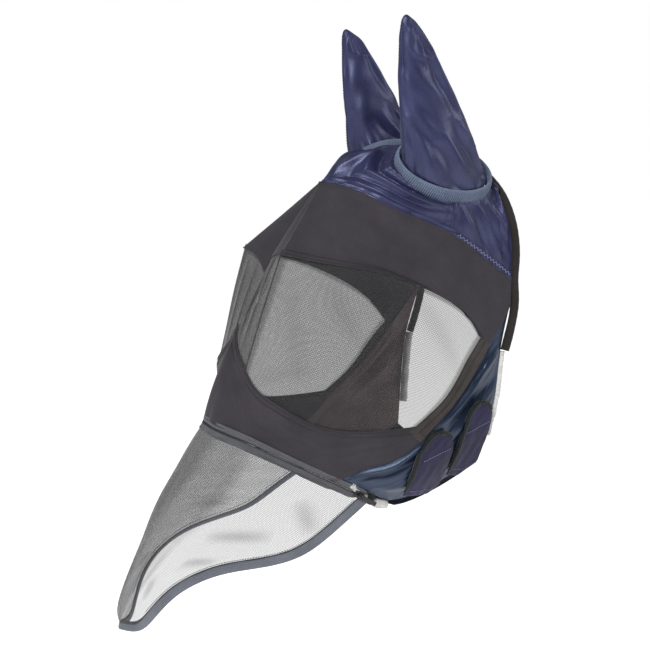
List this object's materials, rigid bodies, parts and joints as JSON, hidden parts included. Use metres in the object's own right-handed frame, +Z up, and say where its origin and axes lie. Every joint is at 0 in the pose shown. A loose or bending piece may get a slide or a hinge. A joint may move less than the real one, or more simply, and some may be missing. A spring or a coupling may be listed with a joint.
{
  "type": "horse fly mask",
  "caption": "Horse fly mask in its worn shape, with mesh eye panels, ear covers, a zip-off mesh nose cover and peel-open jaw tabs.",
  "frame": {"origin": "the poll: the point under the crown, on the midline between the ears, that rests on the top of the horse's head", "axes": "+Z up, -Y forward to the nose, +X the horse's left, where the closing tabs are"},
  "size_m": [0.2101, 0.4297, 0.6119],
  "materials": {
    "navy": "satin stretch knit",
    "black_cloth": "matt woven cloth",
    "mesh": "fine open mesh",
    "jaw_satin": "satin stretch knit",
    "strip": "stitched webbing",
    "binding": "padded binding",
    "band": "ribbed elastic",
    "cover_binding": "stretch binding",
    "fleece": "soft pile",
    "tab": "matt woven cloth",
    "hook": "hook tape",
    "loop": "loop tape",
    "zip_tape": "woven tape",
    "coil": "nylon coil",
    "slider": "dark enamel",
    "piping": "cord piping"
  },
  "bodies": {
    "mask": {"forehead_panel": "black_cloth", "face_mesh": "mesh", "nose_panel": "black_cloth", "closing_flap": "jaw_satin", "rear_binding": "binding", "zip_tape_upper": "zip_tape", "zip_coil_upper": "coil", "loop_patch_lower": "loop", "loop_patch_upper": "loop", "brow_panel_left": "black_cloth", "brow_panel_right": "black_cloth", "eye_mesh_left": "mesh", "eye_mesh_right": "mesh", "cheek_strip_left": "strip", "cheek_strip_right": "strip", "jaw_panel_left": "jaw_satin", "jaw_panel_right": "jaw_satin", "forehead_piping_left": "piping", "forehead_piping_right": "piping", "crown_front_left": "navy", "crown_front_right": "navy", "crown_rear_left": "navy", "crown_rear_right": "navy", "ear_band_left": "band", "ear_band_right": "band", "fleece_front_left": "fleece", "fleece_front_right": "fleece", "fleece_rear_left": "fleece", "fleece_rear_right": "fleece", "zip_end_stop_left": "zip_tape", "zip_end_stop_right": "zip_tape"},
    "lower_tab": {"tab_lower": "tab", "hook_pad_lower": "hook"},
    "upper_tab": {"tab_upper": "tab", "hook_pad_upper": "hook"},
    "nose_cover_body": {"nose_cover": "mesh", "cover_binding": "cover_binding", "zip_tape_lower": "zip_tape", "zip_coil_lower": "coil"},
    "slider": {"zip_slider": "slider"},
    "pull": {"zip_pull": "slider"},
    "left_ear": {"ear_outer_left": "navy", "ear_inner_left": "navy"},
    "right_ear": {"ear_outer_right": "navy", "ear_inner_right": "navy"}
  },
  "joints": [
    {"name": "lower_tab_peel", "type": "hinge", "parent": "mask", "child": "lower_tab", "pos_m": [0.08065, -0.03793, -0.35408], "axis": [-0.046, 0.9989, 0.0083], "range_deg": [0, 120]},
    {"name": "upper_tab_peel", "type": "hinge", "parent": "mask", "child": "upper_tab", "pos_m": [0.08607, 0.01083, -0.33499], "axis": [0.0199, 0.9688, 0.2469], "range_deg": [0, 120]},
    {"name": "nose_cover_removal", "type": "slide", "parent": "mask", "child": "nose_cover_body", "axis": [0, -0.484, -0.8751], "range_m": [0, 0.12]},
    {"name": "zip_slider_run", "type": "slide", "parent": "mask", "child": "slider", "axis": [-0.1571, -0.8568, 0.4911], "range_m": [0, 0.08]},
    {"name": "zip_pull_swing", "type": "hinge", "parent": "slider", "child": "pull", "pos_m": [0.06914, -0.10576, -0.34953], "axis": [0.197, 0.4601, 0.8657], "range_deg": [-150, 5]},
    {"name": "left_ear_flex", "type": "hinge", "parent": "mask", "child": "left_ear", "pos_m": [0.052, 0.004, -0.0145], "axis": [0.7189, -0.0514, -0.6932], "range_deg": [-15, 15], "stiffness_Nm_per_rad": 0.15, "deforming": ["ear_band_left"]},
    {"name": "right_ear_flex", "type": "hinge", "parent": "mask", "child": "right_ear", "pos_m": [-0.052, 0.004, -0.01531], "axis": [0.7189, 0.0514, 0.6932], "range_deg": [-15, 15], "stiffness_Nm_per_rad": 0.15, "deforming": ["ear_band_right"]}
  ]
}
